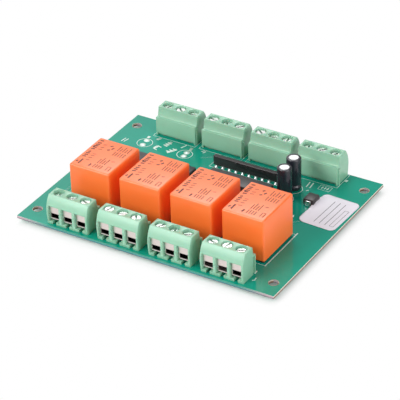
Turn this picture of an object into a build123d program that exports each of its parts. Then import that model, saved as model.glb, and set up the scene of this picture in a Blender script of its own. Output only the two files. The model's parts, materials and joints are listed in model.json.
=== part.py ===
from build123d import *
import math
import os

# Door interlock control board: relays, screw terminals and small parts on one printed circuit board.
# Millimetres, +Z up, wire entries of the front terminals towards -Y.
# The origin is under the board's centre, at the level of the longest lead tips, on which it rests.
# Places on the board are measured from its front left corner.

# Board
BOARD_X = 96.0
BOARD_Y = 74.0
BOARD_THICK = 1.0
MOUNT_HOLE_R = 1.6
MOUNT_SPACING_X = 88.6
MOUNT_SPACING_Y = 61.0
LONG_STUB = 1.6
SHORT_STUB = 1.3
HOLE_CLEARANCE = 0.12

# Terminal block, seen from its wire side
POLES = 3
POLE_PITCH = 5.08
TERMINAL_HEIGHT = 10.3
TERMINAL_END = 0.15
TERMINAL_DEPTH = 8.3
TERMINAL_BELLY = 0.45
BELLY_HEIGHT = 3.8
TOP_FRONT = 1.45
TOP_REAR = 6.2
LEDGE_HEIGHT = 7.35
LEDGE = 0.35
FLARE_HOLLOW = 0.25
TERMINAL_EDGE_R = 0.3
ENTRY_WIDTH = 4.1
ENTRY_TOP = 6.9
ENTRY_FLOOR = 1.0
ENTRY_DEPTH = 6.5
ENTRY_EDGE_R = 0.3
FLOOR_SLOT_WIDTH = 1.4
FLOOR_SLOT_END = 4.2
WELL_R = 1.9
WELL_Y = 3.75
UNDERCUT_HEIGHT = 0.95
UNDERCUT_DEPTH = 1.4
END_FOOT = 0.5
DOVETAIL_WIDTH = 0.8
DOVETAIL_DEPTH = 0.4
DOVETAIL_HEIGHT = 7.0
DOVETAIL_Y = 6.65
DOVETAIL_CLEARANCE = 0.08
END_STRIP_RELIEF = 0.25
END_LIP = 0.5

# Wire clamp, contact bar and clamp screw inside each pole
PART_CLEARANCE = 0.1
CLAMP_WALL = 0.4
CLAMP_START = 0.7
CLAMP_BOTTOM = 2.5
CLAMP_HEIGHT = 4.3
CLAMP_LIP = 0.55
CONTACT_START = 2.2
CONTACT_THICK = 0.6
CONTACT_WIDTH = 2.5
CONTACT_PIN_WIDTH = 1.0
WINDOW_HEIGHT = 1.45
SCREW_HEAD_R = 1.65
SCREW_HEAD_HEIGHT = 1.5
SCREW_SHANK_R = 1.15
SCREW_LENGTH = 4.2
SCREW_SLOT = 0.6
SCREW_SLOT_DEPTH = 0.75
FRONT_SCREW_TOPS = (9.1, 9.4, 9.6, 9.9, 9.6, 9.8, 9.5)
REAR_SCREW_TOPS = (8.7, 9.2, 8.8, 9.0, 8.6, 9.1, 8.9)
FRONT_SCREW_TURNS = (100, 35, 160, 80, 20, 125, 65)
REAR_SCREW_TURNS = (15, 140, 75, 50, 110, 170, 95)

# Rows of terminal blocks
TERMINALS_PER_ROW = 4
FRONT_ROW_X = 11.31
FRONT_ROW_PITCH = 19.25
FRONT_ROW_Y = 1.2
REAR_ROW_X = 12.8
REAR_ROW_PITCH = 18.25
REAR_ROW_Y = 73.45

# Relay
RELAYS = 4
RELAY_ROW_X = 12.05
RELAY_PITCH = 19.12
RELAY_ROW_Y = 14.05
RELAY_X = 15.3
RELAY_Y = 18.9
RELAY_TOP = 15.9
RELAY_WALL = 0.35
RELAY_EDGE_R = 0.7
RELAY_STANDOFF = 0.3
RELAY_RIM = 0.55
RELAY_BASE_THICK = 0.8
RELAY_FOOT_R = 0.7
RELAY_PIN_WIDTH = 1.0
RELAY_PIN_THICK = 0.5
RELAY_PIN_SPREAD = 12.2
RELAY_CONTACT_ROW = 7.1
RELAY_COIL_ROW = 5.1

# Dual-in-line chips
DIP_BODY_Y = 6.4
DIP_BODY_HEIGHT = 3.3
DIP_STANDOFF = 0.55
DIP_DRAFT = 5.0
DIP_ROW_SPACING = 7.62
PIN_PITCH = 2.54
DIP_END = 1.5
LEAD_THICK = 0.25
LEAD_WIDE = 1.4
LEAD_NARROW = 0.5
PROCESSOR_PINS = 20
PROCESSOR_AT = (26.5, 45.0)
DRIVER_PINS = 18
DRIVER_AT = (55.7, 48.0)

# Single-in-line resistor network
NETWORK_PINS = 10
NETWORK_AT = (53.1, 57.9)
NETWORK_PIN_Y = -0.55
NETWORK_BODY_Y = 1.6
NETWORK_HEIGHT = 3.45
NETWORK_STANDOFF = 0.65
NETWORK_END = 1.05
NETWORK_EDGE_R = 0.15

# Electrolytic capacitors
CAPACITOR_R = 2.5
CAPACITOR_TOP = 12.3
CAPACITOR_STANDOFF = 0.4
CAPACITOR_CRIMP_HEIGHT = 1.9
CAPACITOR_CRIMP = 0.3
CAPACITOR_EDGE_R = 0.45
SLEEVE_WALL = 0.12
SLEEVE_LIP = 0.75
CAPACITOR_LEAD_R = 0.25
CAPACITOR_LEAD_SPACING = 2.0
REAR_CAPACITOR_AT = (71.4, 57.4)
FRONT_CAPACITOR_AT = (71.7, 50.6)

# Surface-mount diode
DIODE_AT = (80.5, 52.75)
DIODE_X = 3.9
DIODE_Y = 4.5
DIODE_TOP = 2.35
DIODE_FLOOR = 0.15
DIODE_WAIST = 1.15
DIODE_DRAFT = 8.0
DIODE_LEAD_WIDTH = 2.1
DIODE_LEAD_THICK = 0.22
DIODE_LEAD_REACH = 0.45
DIODE_LEAD_FOOT = 1.1

# Label
LABEL_X = 12.5
LABEL_Y = 18.0
LABEL_THICK = 0.15
LABEL_R = 2.0
LABEL_AT = (89.05, 50.2)

# Crystal and voltage regulator, hidden behind the relays
CRYSTAL_AT = (24.0, 37.6)
CRYSTAL_X = 10.6
CRYSTAL_Y = 4.1
CRYSTAL_TOP = 3.9
CRYSTAL_FLANGE = 0.35
CRYSTAL_FLANGE_THICK = 0.5
CRYSTAL_STANDOFF = 0.3
CRYSTAL_LEAD_R = 0.22
CRYSTAL_LEAD_SPACING = 4.88
REGULATOR_AT = (75.5, 39.5)
REGULATOR_R = 2.35
REGULATOR_FLAT = 1.3
REGULATOR_HEIGHT = 4.6
REGULATOR_STANDOFF = 2.2
REGULATOR_PITCH = 1.27
REGULATOR_LEAD = 0.42

# Levels that follow from the sizes above
BOARD_TOP = LONG_STUB + BOARD_THICK
LONG_TIP = -BOARD_THICK - LONG_STUB
SHORT_TIP = -BOARD_THICK - SHORT_STUB
TERMINAL_WIDTH = POLES * POLE_PITCH + 2 * TERMINAL_END
CLAMP_WIDTH = ENTRY_WIDTH - 3 * PART_CLEARANCE
CLAMP_TOP = CLAMP_BOTTOM + CLAMP_HEIGHT
CLAMP_END = ENTRY_DEPTH - PART_CLEARANCE - CONTACT_THICK - PART_CLEARANCE
WINDOW_FLOOR = CLAMP_BOTTOM + CLAMP_LIP
WINDOW_TOP = WINDOW_FLOOR + WINDOW_HEIGHT
CONTACT_TOP = WINDOW_TOP - PART_CLEARANCE
CONTACT_REAR = ENTRY_DEPTH - PART_CLEARANCE


def spread(count, pitch):
    """Places of a row of things, centred on zero."""
    return [(i - (count - 1) / 2) * pitch for i in range(count)]


def block(x0, x1, y0, y1, z0, z1):
    """A box given by its limits."""
    return Pos(x0, y0, z0) * Box(x1 - x0, y1 - y0, z1 - z0, align=(Align.MIN, Align.MIN, Align.MIN))


def rod(x, y, radius, z0, z1):
    """An upright cylinder between two levels."""
    return Pos(x, y, z0) * Cylinder(radius, z1 - z0, align=(Align.CENTER, Align.CENTER, Align.MIN))


def on_board(x, y):
    """The location of a place on the board's top face, measured from its front left corner."""
    return Location((x - BOARD_X / 2, y - BOARD_Y / 2, BOARD_TOP))


def moved(location, solids):
    return [location * solid for solid in solids]


def write(node, solids):
    """Writes one node, a single solid or a group of like solids."""
    shape = solids[0] if len(solids) == 1 else Compound(solids)
    export_step(shape, f"parts/{node}.step")


# Terminal block pieces. Local frame: X along the block from its centre, Y from the foot of the
# wire face into the board, Z from the board's top face.

def pole_centres():
    return spread(POLES, POLE_PITCH)


def flare_middle():
    """The middle of the hollow flare that leads from the top down to the ledge at the back."""
    run = TERMINAL_DEPTH - LEDGE - TOP_REAR
    drop = TERMINAL_HEIGHT - LEDGE_HEIGHT
    slant = math.hypot(run, drop)
    y = TOP_REAR + run / 2 - FLARE_HOLLOW * drop / slant
    z = LEDGE_HEIGHT + drop / 2 - FLARE_HOLLOW * run / slant
    return y, z


def terminal_profile():
    """Side view: bellied wire face, flat top, and a back that flares out to a ledge."""
    with BuildSketch(Plane.YZ) as sketch:
        with BuildLine():
            face = Line((0, 0), (-TERMINAL_BELLY, BELLY_HEIGHT))
            TangentArc(face @ 1, (TOP_FRONT, TERMINAL_HEIGHT), tangent=face % 1)
            Line((TOP_FRONT, TERMINAL_HEIGHT), (TOP_REAR, TERMINAL_HEIGHT))
            ledge_start = (TERMINAL_DEPTH - LEDGE, LEDGE_HEIGHT)
            ThreePointArc((TOP_REAR, TERMINAL_HEIGHT), flare_middle(), ledge_start)
            Polyline(ledge_start, (TERMINAL_DEPTH, LEDGE_HEIGHT), (TERMINAL_DEPTH, 0), (0, 0))
        make_face()
        top = [v for v in sketch.vertices() if v.Z > TERMINAL_HEIGHT - TERMINAL_EDGE_R]
        rim = [v for v in sketch.vertices() if v.Y > TERMINAL_DEPTH - TERMINAL_EDGE_R and v.Z > 0]
        fillet(top, TERMINAL_EDGE_R)
        fillet(rim, TERMINAL_EDGE_R / 2)
    return sketch.sketch


def wire_entry():
    """The hollow behind one wire entry, with rounded edges to the ribs beside its mouth."""
    half = ENTRY_WIDTH / 2
    mouth = -TERMINAL_BELLY
    outside = mouth - 1
    with BuildSketch(Plane.XY.offset(ENTRY_FLOOR)) as sketch:
        with BuildLine():
            Polyline((0, outside), (half + ENTRY_EDGE_R, outside), (half + ENTRY_EDGE_R, mouth))
            RadiusArc((half + ENTRY_EDGE_R, mouth), (half, mouth + ENTRY_EDGE_R), ENTRY_EDGE_R)
            Polyline((half, mouth + ENTRY_EDGE_R), (half, ENTRY_DEPTH), (0, ENTRY_DEPTH))
            mirror(about=Plane.YZ)
        make_face()
    return extrude(sketch.sketch, ENTRY_TOP - ENTRY_FLOOR)


def terminal_housing():
    width = TERMINAL_WIDTH
    body = extrude(terminal_profile(), width / 2, both=True)
    ends = body.faces().sort_by(Axis.X)[0].edges() + body.faces().sort_by(Axis.X)[-1].edges()
    upper = [e for e in ends if e.center().Z > UNDERCUT_HEIGHT and e.center().Y < TERMINAL_DEPTH - 1]
    body = fillet(upper, TERMINAL_EDGE_R)
    slot_half = FLOOR_SLOT_WIDTH / 2
    pin_half = CONTACT_PIN_WIDTH / 2 + PART_CLEARANCE
    for x in pole_centres():
        body -= Pos(x, 0, 0) * wire_entry()
        body -= rod(x, WELL_Y, WELL_R, ENTRY_TOP - PART_CLEARANCE, TERMINAL_HEIGHT + 1)
        body -= block(x - slot_half, x + slot_half, -1, FLOOR_SLOT_END, -1, ENTRY_FLOOR + PART_CLEARANCE)
        pin_front = CONTACT_REAR - CONTACT_THICK - PART_CLEARANCE
        body -= block(x - pin_half, x + pin_half, pin_front, ENTRY_DEPTH, -1, ENTRY_FLOOR + PART_CLEARANCE)
    inner = width / 2 - END_FOOT
    body -= block(-inner, inner, TERMINAL_DEPTH - UNDERCUT_DEPTH, TERMINAL_DEPTH + 1, -1, UNDERCUT_HEIGHT)
    groove = DOVETAIL_WIDTH / 2 + DOVETAIL_CLEARANCE
    body -= block(width / 2 - DOVETAIL_DEPTH - DOVETAIL_CLEARANCE, width / 2 + 1,
                  DOVETAIL_Y - groove, DOVETAIL_Y + groove, -1, DOVETAIL_HEIGHT)
    body -= block(width / 2 - END_STRIP_RELIEF, width / 2 + 1,
                  DOVETAIL_Y, TERMINAL_DEPTH - END_LIP, -1, DOVETAIL_HEIGHT)
    body += block(-width / 2 - DOVETAIL_DEPTH, -width / 2 + TERMINAL_EDGE_R,
                  DOVETAIL_Y - DOVETAIL_WIDTH / 2, DOVETAIL_Y + DOVETAIL_WIDTH / 2,
                  0, DOVETAIL_HEIGHT - UNDERCUT_HEIGHT)
    return body


def wire_clamp(x):
    """A box clamp: the wire goes through its window and the screw through its thick top."""
    half = CLAMP_WIDTH / 2
    clamp = block(x - half, x + half, CLAMP_START, CLAMP_END, CLAMP_BOTTOM, CLAMP_TOP)
    clamp = fillet(clamp.edges().filter_by(Axis.Y), CLAMP_WALL * 0.8)
    window = half - CLAMP_WALL
    clamp -= block(x - window, x + window, CLAMP_START - 1, CLAMP_END + 1, WINDOW_FLOOR, WINDOW_TOP)
    clamp -= rod(x, WELL_Y, SCREW_SHANK_R + PART_CLEARANCE, WINDOW_TOP - 1, CLAMP_TOP + 1)
    return clamp


def contact(x):
    """A contact bar through the clamp's window, bent down at the rear into the solder pin."""
    bar = CONTACT_WIDTH / 2
    pin = CONTACT_PIN_WIDTH / 2
    under = CONTACT_TOP - CONTACT_THICK
    piece = block(x - bar, x + bar, CONTACT_START, CONTACT_REAR, under, CONTACT_TOP)
    piece += block(x - pin, x + pin, CONTACT_REAR - CONTACT_THICK, CONTACT_REAR, LONG_TIP, under)
    return piece


def clamp_screw(x, top, turn):
    """A captive cheese-head screw; its tip bears on the contact bar once a wire is clamped."""
    head = rod(0, 0, SCREW_HEAD_R, top - SCREW_HEAD_HEIGHT, top)
    head = chamfer(head.edges().sort_by(Axis.Z)[-1], SCREW_SLOT / 4)
    slot = block(-SCREW_HEAD_R - 1, SCREW_HEAD_R + 1, -SCREW_SLOT / 2, SCREW_SLOT / 2,
                 top - SCREW_SLOT_DEPTH, top + 1)
    shank = rod(0, 0, SCREW_SHANK_R, top - SCREW_LENGTH, top - SCREW_HEAD_HEIGHT)
    return Pos(x, WELL_Y, 0) * (head + shank - Rot(0, 0, turn) * slot)


def write_terminals(first, locations, screw_node, tops, turns):
    """Writes one row of blocks, and returns where their solder pins go through the board."""
    screws = []
    holes = []
    housing = terminal_housing()
    clamps = [wire_clamp(x) for x in pole_centres()]
    contacts = [contact(x) for x in pole_centres()]
    pin_r = math.hypot(CONTACT_PIN_WIDTH, CONTACT_THICK) / 2 + HOLE_CLEARANCE
    for i, location in enumerate(locations):
        name = f"terminal_{first + i}"
        write(f"{name}_housing", moved(location, [housing]))
        write(f"{name}_wire_clamps", moved(location, clamps))
        write(f"{name}_contacts", moved(location, contacts))
        for k, x in enumerate(pole_centres()):
            place = POLES * i + k
            screw = clamp_screw(x, tops[place % len(tops)], turns[place % len(turns)])
            screws.append(location * screw)
            pin = (location * Pos(x, CONTACT_REAR - CONTACT_THICK / 2, 0)).position
            holes.append((pin.X, pin.Y, pin_r))
    write(screw_node, screws)
    return holes


# Relay pieces. Local frame: X and Y from the relay's centre, Z from the board's top face.

def relay_pin_places():
    half = RELAY_PIN_SPREAD / 2
    common = [(0, RELAY_CONTACT_ROW)]
    coil = [(-half, RELAY_COIL_ROW), (half, RELAY_COIL_ROW)]
    switched = [(-half, -RELAY_CONTACT_ROW), (half, -RELAY_CONTACT_ROW)]
    return common + coil + switched


def relay_base_size():
    return RELAY_X - 2 * RELAY_WALL, RELAY_Y - 2 * RELAY_WALL


def relay_case():
    """A moulded case with rounded edges, closed underneath by the base set into its rim."""
    case = block(-RELAY_X / 2, RELAY_X / 2, -RELAY_Y / 2, RELAY_Y / 2, RELAY_RIM, RELAY_TOP)
    case = fillet(case.edges().filter_by(Axis.Z) + case.faces().sort_by(Axis.Z)[-1].edges(), RELAY_EDGE_R)
    base_x, base_y = relay_base_size()
    base_top = RELAY_STANDOFF + RELAY_BASE_THICK
    return case - block(-base_x / 2, base_x / 2, -base_y / 2, base_y / 2, 0, base_top)


def relay_base():
    """The base plate on four small feet, slotted for the pins."""
    base_x, base_y = relay_base_size()
    base_top = RELAY_STANDOFF + RELAY_BASE_THICK
    base = block(-base_x / 2, base_x / 2, -base_y / 2, base_y / 2, RELAY_STANDOFF, base_top)
    for x in (-1, 1):
        for y in (-1, 1):
            foot_x = x * (base_x / 2 - RELAY_FOOT_R)
            foot_y = y * (base_y / 2 - RELAY_FOOT_R)
            base += rod(foot_x, foot_y, RELAY_FOOT_R, 0, RELAY_STANDOFF)
    for x, y in relay_pin_places():
        base -= relay_pin(x, y, RELAY_STANDOFF - 1, base_top + 1)
    return base


def relay_pin(x, y, z0, z1):
    half_x = RELAY_PIN_WIDTH / 2
    half_y = RELAY_PIN_THICK / 2
    return block(x - half_x, x + half_x, y - half_y, y + half_y, z0, z1)


def write_relays():
    case = relay_case()
    base = relay_base()
    base_top = RELAY_STANDOFF + RELAY_BASE_THICK
    pins = [relay_pin(x, y, SHORT_TIP, base_top) for x, y in relay_pin_places()]
    pin_r = math.hypot(RELAY_PIN_WIDTH, RELAY_PIN_THICK) / 2 + HOLE_CLEARANCE
    holes = []
    for i in range(RELAYS):
        location = on_board(RELAY_ROW_X + i * RELAY_PITCH + RELAY_X / 2, RELAY_ROW_Y + RELAY_Y / 2)
        write(f"relay_{i + 1}_case", moved(location, [case]))
        write(f"relay_{i + 1}_base", moved(location, [base]))
        write(f"relay_{i + 1}_pins", moved(location, pins))
        for x, y in relay_pin_places():
            pin = (location * Pos(x, y, 0)).position
            holes.append((pin.X, pin.Y, pin_r))
    return holes


# Dual-in-line chips, along X, with the notch at the left end.

def dip_lead_level():
    return DIP_STANDOFF + DIP_BODY_HEIGHT / 2


def dip_body(pins):
    length = (pins / 2 - 1) * PIN_PITCH + 2 * DIP_END
    half_height = DIP_BODY_HEIGHT / 2
    waist = Rectangle(length, DIP_BODY_Y)
    body = extrude(waist, half_height, taper=DIP_DRAFT) + extrude(waist, -half_height, taper=DIP_DRAFT)
    body = Pos(0, 0, dip_lead_level()) * body
    top = DIP_STANDOFF + DIP_BODY_HEIGHT
    notch_r = DIP_BODY_Y / 7
    body -= rod(-length / 2, 0, notch_r, top - notch_r / 2, top + 1)
    dot = (-length / 2 + DIP_END, -DIP_BODY_Y / 2 + DIP_END)
    return body - rod(dot[0], dot[1], notch_r / 2, top - LEAD_THICK / 2, top + 1)


def dip_lead(x, side):
    """One lead: out of the body's waist, bent down, then narrow through the board."""
    row = DIP_ROW_SPACING / 2
    level = dip_lead_level()
    half = LEAD_THICK / 2
    elbow = row + half
    with BuildSketch(Plane.YZ.offset(x)) as sketch:
        with BuildLine():
            Polyline(
                (DIP_BODY_Y / 2, level - half),
                (row - half, level - half),
                (row - half, DIP_STANDOFF),
                (elbow, DIP_STANDOFF),
                (elbow, level),
                (row, level + half),
                (DIP_BODY_Y / 2, level + half),
                close=True,
            )
        make_face()
    lead = extrude(sketch.sketch, LEAD_WIDE / 2, both=True)
    narrow = LEAD_NARROW / 2
    lead += block(x - narrow, x + narrow, row - half, elbow, SHORT_TIP, DIP_STANDOFF)
    return lead if side > 0 else Rot(0, 0, 180) * lead


def write_dip(name, pins, place):
    location = on_board(*place)
    write(f"{name}_body", moved(location, [dip_body(pins)]))
    xs = spread(pins // 2, PIN_PITCH)
    leads = [dip_lead(x, side) for side in (1, -1) for x in xs]
    write(f"{name}_leads", moved(location, leads))
    row = DIP_ROW_SPACING / 2
    hole_r = LEAD_NARROW / 2 + HOLE_CLEARANCE
    spots = [(location * Pos(x, side * row, 0)).position for side in (1, -1) for x in xs]
    return [(spot.X, spot.Y, hole_r) for spot in spots]


# Small parts

def write_network():
    """A single-in-line resistor network, standing on the shoulders of its ten pins."""
    location = on_board(*NETWORK_AT)
    length = (NETWORK_PINS - 1) * PIN_PITCH + 2 * NETWORK_END
    half_y = NETWORK_BODY_Y / 2
    top = NETWORK_STANDOFF + NETWORK_HEIGHT
    body = block(-length / 2, length / 2, -half_y, half_y, NETWORK_STANDOFF, top)
    body = fillet(body.faces().sort_by(Axis.Z)[-1].edges(), NETWORK_EDGE_R)
    write("resistor_network_body", moved(location, [body]))
    pins = []
    holes = []
    half_wide = LEAD_WIDE / 3
    half_narrow = LEAD_NARROW / 2
    front = NETWORK_PIN_Y - LEAD_THICK / 2
    rear = NETWORK_PIN_Y + LEAD_THICK / 2
    for x in spread(NETWORK_PINS, PIN_PITCH):
        pin = block(x - half_wide, x + half_wide, front, rear, 0, NETWORK_STANDOFF)
        pin += block(x - half_narrow, x + half_narrow, front, rear, SHORT_TIP, 0)
        pins.append(pin)
        spot = (location * Pos(x, NETWORK_PIN_Y, 0)).position
        holes.append((spot.X, spot.Y, half_narrow + HOLE_CLEARANCE))
    write("resistor_network_pins", moved(location, pins))
    return holes


def turned(points):
    """A solid turned about Z from an outline of radius and height pairs."""
    with BuildSketch(Plane.XZ) as sketch:
        with BuildLine():
            Polyline(*points, close=True)
        make_face()
    return revolve(sketch.sketch, Axis.Z)


def capacitor_side(inset):
    """The can's side from its base up, drawn in by an inset: foot, crimp and straight wall."""
    r = CAPACITOR_R - inset
    base = CAPACITOR_STANDOFF + inset
    crimp = CAPACITOR_STANDOFF + CAPACITOR_CRIMP_HEIGHT
    top = CAPACITOR_TOP - inset
    edge = CAPACITOR_EDGE_R
    return [
        (r - edge, base),
        (r, base + edge),
        (r, crimp - CAPACITOR_CRIMP),
        (r - CAPACITOR_CRIMP, crimp),
        (r, crimp + CAPACITOR_CRIMP),
        (r, top - edge),
        (r - edge / 3, top - edge / 3),
        (r - edge, top),
    ]


def write_capacitor(name, place):
    """A can in a shrunk sleeve that laps over its top rim and under its base."""
    location = on_board(*place)
    side = capacitor_side(SLEEVE_WALL)
    base = side[0][1]
    top = side[-1][1]
    can = turned([(0, base)] + side + [(0, top)])
    lap = CAPACITOR_R - SLEEVE_LIP - SLEEVE_WALL
    outside = capacitor_side(0)
    sleeve = turned([(lap, CAPACITOR_STANDOFF)] + outside + [(lap, CAPACITOR_TOP), (lap, top)]
                    + side[::-1] + [(lap, base)])
    half = CAPACITOR_LEAD_SPACING / 2
    leads = [rod(x, 0, CAPACITOR_LEAD_R, SHORT_TIP, base) for x in (-half, half)]
    write(f"{name}_can", moved(location, [can]))
    write(f"{name}_sleeve", moved(location, [sleeve]))
    write(f"{name}_leads", moved(location, leads))
    spots = [(location * Pos(x, 0, 0)).position for x in (-half, half)]
    return [(spot.X, spot.Y, CAPACITOR_LEAD_R + HOLE_CLEARANCE) for spot in spots]


def write_diode():
    """A drafted surface-mount body with flat leads folded down its ends and under it."""
    location = on_board(*DIODE_AT)
    waist = Rectangle(DIODE_X, DIODE_Y)
    upper = extrude(waist, DIODE_TOP - DIODE_WAIST, taper=DIODE_DRAFT)
    lower = extrude(waist, DIODE_FLOOR - DIODE_WAIST, taper=DIODE_DRAFT)
    body = Pos(0, 0, DIODE_WAIST) * (upper + lower)
    end = DIODE_Y / 2
    reach = end + DIODE_LEAD_REACH
    thick = DIODE_LEAD_THICK
    foot = end - DIODE_LEAD_FOOT
    level = DIODE_WAIST + thick / 2
    with BuildSketch(Plane.YZ) as sketch:
        with BuildLine():
            Polyline(
                (end, level),
                (reach - thick / 2, level),
                (reach, level - thick / 2),
                (reach, 0),
                (foot, 0),
                (foot, DIODE_FLOOR),
                (reach - thick, DIODE_FLOOR),
                (reach - thick, level - thick),
                (end, level - thick),
                close=True,
            )
        make_face()
    lead = extrude(sketch.sketch, DIODE_LEAD_WIDTH / 2, both=True)
    write("diode_body", moved(location, [body]))
    write("diode_leads", moved(location, [lead, Rot(0, 0, 180) * lead]))


def write_label():
    label = extrude(RectangleRounded(LABEL_X, LABEL_Y, LABEL_R), LABEL_THICK)
    write("label", moved(on_board(*LABEL_AT), [label]))


def write_crystal():
    """A low metal can with round ends, pressed on a flanged base with two leads."""
    location = on_board(*CRYSTAL_AT)
    flange_top = CRYSTAL_STANDOFF + CRYSTAL_FLANGE_THICK
    can = Pos(0, 0, flange_top) * extrude(SlotOverall(CRYSTAL_X, CRYSTAL_Y), CRYSTAL_TOP - flange_top)
    can = fillet(can.faces().sort_by(Axis.Z)[-1].edges(), CRYSTAL_FLANGE)
    grow = 2 * CRYSTAL_FLANGE
    flange = extrude(SlotOverall(CRYSTAL_X + grow, CRYSTAL_Y + grow), CRYSTAL_FLANGE_THICK)
    can += Pos(0, 0, CRYSTAL_STANDOFF) * flange
    half = CRYSTAL_LEAD_SPACING / 2
    leads = [rod(x, 0, CRYSTAL_LEAD_R, SHORT_TIP, CRYSTAL_STANDOFF) for x in (-half, half)]
    write("crystal_can", moved(location, [can]))
    write("crystal_leads", moved(location, leads))
    spots = [(location * Pos(x, 0, 0)).position for x in (-half, half)]
    return [(spot.X, spot.Y, CRYSTAL_LEAD_R + HOLE_CLEARANCE) for spot in spots]


def write_regulator():
    """A small three-lead transistor-style package with one flat face."""
    location = on_board(*REGULATOR_AT)
    body = rod(0, 0, REGULATOR_R, REGULATOR_STANDOFF, REGULATOR_STANDOFF + REGULATOR_HEIGHT)
    side = REGULATOR_R + 1
    body -= block(-side, side, -side, -REGULATOR_FLAT, 0, REGULATOR_STANDOFF + REGULATOR_HEIGHT + 1)
    half = REGULATOR_LEAD / 2
    xs = spread(3, REGULATOR_PITCH)
    leads = [block(x - half, x + half, -half, half, SHORT_TIP, REGULATOR_STANDOFF) for x in xs]
    write("regulator_body", moved(location, [body]))
    write("regulator_leads", moved(location, leads))
    spots = [(location * Pos(x, 0, 0)).position for x in xs]
    return [(spot.X, spot.Y, half + HOLE_CLEARANCE) for spot in spots]


def write_board(lead_holes):
    """The laminate, with its four mounting holes and a hole for every lead."""
    board = block(-BOARD_X / 2, BOARD_X / 2, -BOARD_Y / 2, BOARD_Y / 2, LONG_STUB, BOARD_TOP)
    xs = (-MOUNT_SPACING_X / 2, MOUNT_SPACING_X / 2)
    ys = (-MOUNT_SPACING_Y / 2, MOUNT_SPACING_Y / 2)
    mounts = [(x, y, MOUNT_HOLE_R) for x in xs for y in ys]
    with BuildSketch(Plane.XY) as drills:
        for x, y, r in mounts + lead_holes:
            with Locations((x, y)):
                Circle(r)
    board -= extrude(drills.sketch, BOARD_TOP + 1)
    write("circuit_board", [board.solid()])


def row_places(first_x, pitch, y, turn):
    """The locations of one row of terminal blocks."""
    xs = [first_x + i * pitch + TERMINAL_WIDTH / 2 for i in range(TERMINALS_PER_ROW)]
    return [on_board(x, y) * Rot(0, 0, turn) for x in xs]


def main():
    os.makedirs("parts", exist_ok=True)
    front = row_places(FRONT_ROW_X, FRONT_ROW_PITCH, FRONT_ROW_Y, 0)
    rear = row_places(REAR_ROW_X, REAR_ROW_PITCH, REAR_ROW_Y, 180)
    rear_first = 1 + TERMINALS_PER_ROW
    holes = write_terminals(1, front, "front_clamp_screws", FRONT_SCREW_TOPS, FRONT_SCREW_TURNS)
    holes += write_terminals(rear_first, rear, "rear_clamp_screws", REAR_SCREW_TOPS, REAR_SCREW_TURNS)
    holes += write_relays()
    holes += write_dip("processor", PROCESSOR_PINS, PROCESSOR_AT)
    holes += write_dip("driver", DRIVER_PINS, DRIVER_AT)
    holes += write_network()
    holes += write_capacitor("rear_capacitor", REAR_CAPACITOR_AT)
    holes += write_capacitor("front_capacitor", FRONT_CAPACITOR_AT)
    holes += write_crystal()
    holes += write_regulator()
    write_diode()
    write_label()
    write_board(holes)


main()
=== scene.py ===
import bmesh
import bpy
import json
import math
from mathutils import Matrix, Vector


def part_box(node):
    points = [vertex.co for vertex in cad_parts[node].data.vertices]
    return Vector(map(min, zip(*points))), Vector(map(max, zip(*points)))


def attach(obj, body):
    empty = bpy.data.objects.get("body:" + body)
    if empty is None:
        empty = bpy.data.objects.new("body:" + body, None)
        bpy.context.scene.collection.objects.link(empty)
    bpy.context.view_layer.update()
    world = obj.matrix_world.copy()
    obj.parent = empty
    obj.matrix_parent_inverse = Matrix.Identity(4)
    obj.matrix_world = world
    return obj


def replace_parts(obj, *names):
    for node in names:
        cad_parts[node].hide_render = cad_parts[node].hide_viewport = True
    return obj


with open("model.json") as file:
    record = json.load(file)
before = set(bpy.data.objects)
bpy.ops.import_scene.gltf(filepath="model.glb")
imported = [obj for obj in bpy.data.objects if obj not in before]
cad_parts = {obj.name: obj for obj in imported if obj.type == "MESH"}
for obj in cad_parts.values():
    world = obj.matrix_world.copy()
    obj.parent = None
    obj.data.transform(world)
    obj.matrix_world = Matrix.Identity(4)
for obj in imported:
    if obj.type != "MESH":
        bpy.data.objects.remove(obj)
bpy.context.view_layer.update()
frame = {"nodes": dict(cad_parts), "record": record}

# Camera and studio. The board is seen from the front right through a long lens. It stands on a
# white table in soft light, and what shines on it reflects white walls.
MM = 0.001
LENS = 202.5
VIEW_AZIMUTH = 31.87
VIEW_ELEVATION = 32.39
VIEW_ROLL = -1.76
VIEW_DISTANCE = 739.05 * MM
VIEW_CENTRE = Vector((-0.34, -0.37, 2.6)) * MM
LAMPS = (("lamp_key", 0.5, 2.2, (-0.45, -0.50, 0.55)),
         ("lamp_front", 0.3, 2.6, (-0.26, -0.63, 0.41)),
         ("lamp_right", 0.5, 3.3, (0.76, -0.18, 0.24)),
         ("lamp_back", 0.3, 2.1, (-0.25, 0.41, 0.64)))

camera_data = bpy.data.cameras.new("camera")
camera_data.lens = LENS
camera = bpy.data.objects.new("camera", camera_data)
bpy.context.scene.collection.objects.link(camera)
bpy.context.scene.camera = camera
turn = Matrix.Rotation(math.radians(VIEW_AZIMUTH), 4, "Z")
tilt = Matrix.Rotation(math.radians(90 - VIEW_ELEVATION), 4, "X")
roll = Matrix.Rotation(math.radians(VIEW_ROLL), 4, "Z")
back = Matrix.Translation((0, 0, VIEW_DISTANCE))
camera.matrix_world = Matrix.Translation(VIEW_CENTRE) @ turn @ tilt @ roll @ back
bpy.context.scene.view_settings.view_transform = "Standard"

for name, size, power, place in LAMPS:
    data = bpy.data.lights.new(name, "AREA")
    data.size = size
    data.energy = power
    thing = bpy.data.objects.new(name, data)
    bpy.context.scene.collection.objects.link(thing)
    thing.location = place
    thing.rotation_euler = (-Vector(place)).to_track_quat("-Z", "Y").to_euler()


def linear(code):
    """A colour's sRGB hex code as linear red, green, blue and alpha."""
    parts = [int(code[i:i + 2], 16) / 255 for i in (1, 3, 5)]
    return [c / 12.92 if c <= 0.04045 else ((c + 0.055) / 1.055) ** 2.4 for c in parts] + [1.0]


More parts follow.
